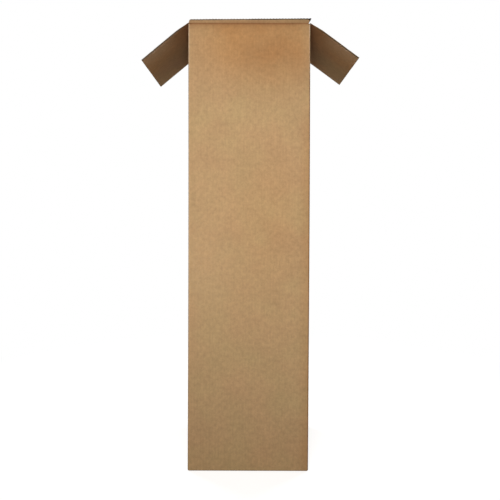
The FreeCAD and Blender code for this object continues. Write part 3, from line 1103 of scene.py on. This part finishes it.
class CARTON_OT_tape(bpy.types.Operator):
    """Build the tape along the bottom seam, with the toothed ends that a tape cutter leaves"""

    bl_idname = "carton.tape"
    bl_label = "Bottom Tape"

    def execute(self, context):
        tape = context.scene.carton_tape
        low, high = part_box("bottom_tape")
        film = high.x - HALF_WIDTH  # the tape lies on the side walls, one thickness proud of them
        columns = max(8, int(round(2 * high.y / tape.tooth)) * 2)
        across = np.linspace(-high.y, high.y, columns + 1)
        tooth = tape.tooth_depth * (np.arange(columns + 1) % 2)
        # One end, from the tape's tip down the wall, round the corner and to the middle of the bottom.
        corner = HALF_WIDTH - tape.edge_inset
        path = [(high.x, z) for z in np.linspace(high.z, TAPE_UPRIGHT * MM, 12)]
        flat = corner - TAPE_BENT * MM
        start, bend, stop = (high.x, TAPE_BEND * MM), (corner + TAPE_AIM * MM, 0), (flat, 0)
        for t in np.linspace(0, 1, 14):
            point = Vector(start) * (1 - t) ** 2 + Vector(bend) * 2 * t * (1 - t) + Vector(stop) * t * t
            path.append((point.x, max(point.y, 0.0)))
        path += [(x, 0.0) for x in np.linspace(corner - TAPE_FLAT * MM, 0, 14)]
        path = np.array(path)
        path = np.concatenate([path, (path * (-1, 1))[-2::-1]])
        run = np.concatenate([[0], np.cumsum(np.linalg.norm(np.diff(path, axis=0), axis=1))])
        direction = np.gradient(path, run, axis=0)
        inward = np.stack([direction[:, 1], -direction[:, 0]], -1)
        inward /= np.linalg.norm(inward, axis=1)[:, None]
        near = hump(path[:, 1], 6 * MM, 6 * MM) * (np.abs(path[:, 0]) > flat)
        fold = tape.wrinkle * near[:, None] * np.maximum(wander(across * 3, 6), 0)[None, :]
        outer = np.empty((len(path), columns + 1, 3))
        outer[..., 0] = path[:, :1] - inward[:, :1] * fold
        outer[..., 1] = across[None, :]
        outer[..., 2] = np.maximum(path[:, 1:] - inward[:, 1:] * fold, 0)
        inner = outer.copy()
        inner[..., 0] += inward[:, :1] * film
        inner[..., 2] += inward[:, 1:] * film
        for face in (outer, inner):
            face[[0, -1], :, 2] -= tooth
        paper = Paper(bow)
        paper.add(outer, inner, np.broadcast_to(across[None], outer.shape[:2]), run[:, None])
        piece = paper.piece("bottom_seam_tape", "tape_film")
        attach(piece, "carton")
        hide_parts("bottom_tape")
        return {"FINISHED"}


class Surface(Nodes):
    """The nodes of a new material round its one main shader."""

    def __init__(self, name):
        self.material = bpy.data.materials.new(name)
        self.material.use_nodes = True
        super().__init__(self.material.node_tree)
        self.tree.nodes.clear()
        self.shader = self.add("ShaderNodeBsdfPrincipled")
        self.add("ShaderNodeOutputMaterial", {"Surface": self.shader.outputs[0]})

    def complete(self, paint, rough, specular, height, strength, distance=0.2 * MM):
        """Gives the shader its colour, roughness and gloss, and a bump from this height."""
        inputs = self.shader.inputs
        self.tree.links.new(paint, inputs["Base Color"])
        self.tree.links.new(rough, inputs["Roughness"])
        inputs["Specular IOR Level"].default_value = specular
        bump = self.add("ShaderNodeBump", {"Height": height, "Strength": strength, "Distance": distance})
        self.tree.links.new(bump.outputs[0], inputs["Normal"])


def kraft_liner(made, finish, board):
    """Brown kraft liner: fibres, mottle and washboard, and its marks: pressed creases, scuffs, stains from
    hands and tears, which also carry painted shade and painted highlights.
    """
    place, flat = made.place(), made.flat()
    across = made.add("ShaderNodeSeparateXYZ", {0: flat}).outputs[0]
    cloud = made.ranged(made.noise(place, 9.0), 0.36, 0.64)
    patches = made.ranged(made.noise(place, 17.0, 2.0), 0.3, 0.7, 0.965, 1.035)
    fine = made.noise(place, 210.0, 5.0, 0.62)
    flocks = made.noise(place, 95.0, 4.0, 0.7)
    mottle = made.ranged(flocks, 0.25, 0.75, 1 - finish.mottle, 1 + finish.mottle)
    streak = made.noise(made.stretched(flat, 1.0, 0.16, 1.0), 420.0, 3.0, 0.6)
    streaks = made.ranged(streak, 0.3, 0.7, 0.96, 1.04)
    wave = made.maths("SINE", made.product(across, 2 * math.pi / board.pitch))
    ridges = made.maths("ADD", made.product(wave, finish.washboard), 1.0)

    paint = made.mixed(cloud, finish.kraft, finish.kraft_red)
    handled = made.product(made.mark("stain"), made.ranged(cloud, 0.0, 1.0, 0.75, 1.1))
    paint = made.mixed(handled, paint, finish.stain)
    paint = made.mixed(made.mark("crease"), paint, finish.crease)
    tone = made.product(made.product(mottle, streaks), made.product(ridges, patches))
    paint = made.toned(paint, tone)
    fleck = made.ranged(made.noise(place, 620.0, 2.0), 0.66, 0.74, 0.0, 0.4)
    paint = made.mixed(fleck, paint, finish.crease)
    worn_and_lit = made.product(made.mark("wear"), made.ranged(fine, 0.35, 0.6, 0.35, 1.0))
    paint = made.mixed(worn_and_lit, paint, finish.wear)
    paint = made.mixed(made.mark("torn"), paint, finish.torn)
    height = made.maths("ADD", made.product(wave, 0.3), made.product(fine, 0.5))
    height = made.maths("ADD", height, made.product(streak, 0.25))
    made.complete(paint, made.ranged(fine, 0.2, 0.8, 0.78, 0.94), 0.28, height, 0.35)


def fluted_medium(made, finish, board):
    """The fluted sheet's greyer, coarser paper."""
    fine = made.noise(made.place(), 320.0, 4.0, 0.6)
    paint = made.toned(finish.medium, made.ranged(fine, 0.25, 0.75, 0.86, 1.1))
    # Painted shade on the flutes near the cut edges.
    paint = made.mixed(made.mark("torn"), paint, finish.torn)
    made.complete(paint, made.ranged(fine, 0.2, 0.8, 0.85, 0.97), 0.2, fine, 0.4)


def cut_board(made, finish, board):
    """The cut end of the rolled board: squashed flutes between the liners, painted dark as the shade they
    mostly lie in.
    """
    layers = made.noise(made.stretched(made.place(), 1.0, 1.0, 0.35), 700.0)
    paint = made.mixed(made.ranged(layers, 0.35, 0.65), finish.torn, finish.medium)
    # Painted shade: the cut end is drawn most of the way to the torn colour.
    paint = made.mixed(0.6, paint, finish.torn)
    made.complete(paint, made.ranged(layers, 0.3, 0.7, 0.85, 0.97), 0.15, layers, 0.6, 0.4 * MM)


def tape_film(made, finish, board):
    """Thin brown packing film, drawn out along its length, with small trapped bubbles."""
    flat = made.flat()
    lines = made.noise(made.stretched(flat, 1.0, 0.05, 1.0), 500.0)
    bubbles = made.noise(flat, 240.0, 2.0)
    tone = made.product(made.ranged(lines, 0.3, 0.7, 0.94, 1.06), made.ranged(bubbles, 0.3, 0.7, 0.96, 1.04))
    height = made.maths("ADD", made.product(lines, 0.5), bubbles)
    rough = made.ranged(bubbles, 0.3, 0.7, 0.36, 0.5)
    made.complete(made.toned(finish.tape, tone), rough, 0.3, height, 0.25, 0.3 * MM)


FINISHES = {made.__name__: made for made in (kraft_liner, fluted_medium, cut_board, tape_film)}


def finish(name):
    """The material of this name, which is made when it is first asked for."""
    known = bpy.data.materials.get(name)
    if known:
        return known
    made = Surface(name)
    FINISHES[name](made, bpy.context.scene.carton_finish, bpy.context.scene.carton_board)
    return made.material


class CARTON_OT_stage(bpy.types.Operator):
    """Build the floor, the soft lamps, the even light and the camera"""

    bl_idname = "carton.stage"
    bl_label = "Stage"

    def execute(self, context):
        stage = context.scene.carton_stage
        self.floor(context, stage)
        self.light(context, stage)
        self.camera(context, stage)
        context.scene.view_settings.view_transform = "Standard"
        return {"FINISHED"}

    def floor(self, context, stage):
        made = bmesh.new()
        bmesh.ops.create_circle(made, cap_ends=True, segments=96, radius=FLOOR_RADIUS)
        mesh = bpy.data.meshes.new("floor")
        made.to_mesh(mesh)
        made.free()
        material = bpy.data.materials.new("pale_floor")
        material.use_nodes = True
        nodes = Nodes(material.node_tree)
        nodes.tree.nodes.clear()
        seen = nodes.seen_by_eye()
        diffuse = nodes.add("ShaderNodeBsdfDiffuse", {
            "Color": nodes.mixed(seen, stage.floor, stage.floor_seen),
        })
        glow = nodes.add("ShaderNodeEmission", {"Strength": nodes.product(seen, stage.floor_glow)})
        near = nodes.add("ShaderNodeAddShader", {0: diffuse.outputs[0], 1: glow.outputs[0]})
        # Far from the carton the floor fades to plain white, so that no horizon shows.
        reach = nodes.add("ShaderNodeVectorMath", {0: nodes.place()}, operation="LENGTH").outputs["Value"]
        far = nodes.product(nodes.ranged(reach, *FLOOR_FADE), seen)
        white = nodes.add("ShaderNodeEmission", {"Strength": 1.0})
        faded = nodes.add("ShaderNodeMixShader", {0: far, 1: near.outputs[0], 2: white.outputs[0]})
        nodes.add("ShaderNodeOutputMaterial", {"Surface": faded.outputs[0]})
        mesh.materials.append(material)
        floor = bpy.data.objects.new("floor", mesh)
        context.scene.collection.objects.link(floor)
        floor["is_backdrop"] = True

    def light(self, context, stage):
        front = Vector((stage.lamp_side, -HALF_DEPTH - stage.lamp_distance, stage.lamp_height))
        level = Vector((0, 0, stage.lamp_height))
        self.lamp(context, "front_lamp", front, level, stage.lamp_size, stage.lamp_power)
        for name, side in (("rear_left_lamp", -1), ("rear_right_lamp", 1)):
            place = Vector((side * stage.rear_side, stage.rear_distance, stage.rear_height))
            self.lamp(context, name, place, level, stage.rear_size, stage.rear_power)
        world = bpy.data.worlds.new("even_light")
        context.scene.world = world
        world.use_nodes = True
        nodes = Nodes(world.node_tree)
        nodes.tree.nodes.clear()
        strength = nodes.ranged(nodes.seen_by_eye(), 0.0, 1.0, stage.ambient, 1.0)
        light = nodes.add("ShaderNodeBackground", {"Color": (1, 1, 1, 1), "Strength": strength})
        nodes.add("ShaderNodeOutputWorld", {"Surface": light.outputs[0]})

    def lamp(self, context, name, place, target, size, power):
        lamp = bpy.data.lights.new(name, "AREA")
        lamp.shape, lamp.size, lamp.energy = "DISK", size, power
        holder = bpy.data.objects.new(name, lamp)
        holder.location = place
        holder.rotation_euler = (target - place).to_track_quat("-Z", "Y").to_euler()
        holder.visible_camera = False
        context.scene.collection.objects.link(holder)

    def camera(self, context, stage):
        data = bpy.data.cameras.new("camera")
        data.lens, data.shift_x, data.shift_y = stage.lens, stage.shift_side, stage.shift
        camera = bpy.data.objects.new("camera", data)
        camera.location = (stage.camera_side, -stage.camera_distance, stage.camera_height)
        camera.rotation_euler = (math.pi / 2 + stage.camera_pitch, stage.camera_roll, 0)
        context.scene.collection.objects.link(camera)
        context.scene.camera = camera


OPERATORS = (
    CARTON_OT_walls, CARTON_OT_creases, CARTON_OT_bottom, CARTON_OT_flaps, CARTON_OT_roll, CARTON_OT_tape,
    CARTON_OT_stage,
)


class CARTON_PT_panel(bpy.types.Panel):
    """Lists the carton's sizes, its pieces and its finishes"""

    bl_idname = "CARTON_PT_panel"
    bl_label = "Lamp Carton"
    bl_space_type = "VIEW_3D"
    bl_region_type = "UI"
    bl_category = "Carton"

    def draw(self, context):
        for operator in OPERATORS:
            self.layout.operator(operator.bl_idname)
        for name, group in GROUPS.items():
            box = self.layout.box()
            box.label(text=group.__doc__)
            for key in group.__annotations__:
                box.prop(getattr(context.scene, name), key)


def register():
    for item in (*GROUPS.values(), *OPERATORS, CARTON_PT_panel):
        bpy.utils.register_class(item)
    for name, group in GROUPS.items():
        setattr(bpy.types.Scene, name, PointerProperty(type=group))


def unregister():
    for name in GROUPS:
        delattr(bpy.types.Scene, name)
    for item in (CARTON_PT_panel, *OPERATORS, *GROUPS.values()):
        bpy.utils.unregister_class(item)


def main():
    register()
    bpy.ops.carton.walls()
    bpy.ops.carton.creases()
    bpy.ops.carton.bottom()
    bpy.ops.carton.flaps()
    bpy.ops.carton.roll()
    bpy.ops.carton.tape()
    bpy.ops.carton.stage()
    boxes = {"cad": CAD_BOX, "visual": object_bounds()}
    {name: [list(corner) for corner in box] for name, box in boxes.items()}


if __name__ == "__main__":
    main()
